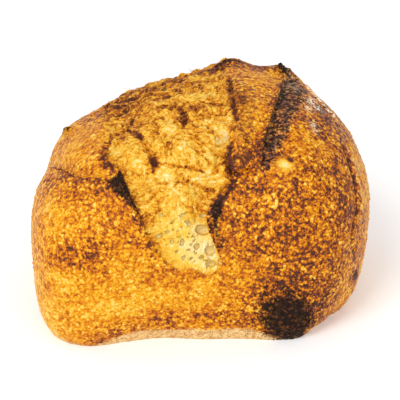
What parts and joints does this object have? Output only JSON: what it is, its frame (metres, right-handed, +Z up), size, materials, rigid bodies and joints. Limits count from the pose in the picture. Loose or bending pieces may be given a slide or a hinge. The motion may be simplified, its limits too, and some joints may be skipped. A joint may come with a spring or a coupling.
{
  "type": "sourdough loaf",
  "caption": "Round country sourdough loaf with a wide torn score, a raised ear and a flat sole to rest on.",
  "frame": {"origin": "middle of the bounding box, on the flat sole that the loaf rests on", "axes": "+Z up from the sole, -Y out of the front of the loaf where the score has torn open, +X along the loaf's widest extent towards the raised ear's side"},
  "size_m": [0.2074, 0.188, 0.1307],
  "materials": {
    "crust": "matte"
  },
  "bodies": {
    "root": {"loaf": "crust"}
  },
  "joints": []
}
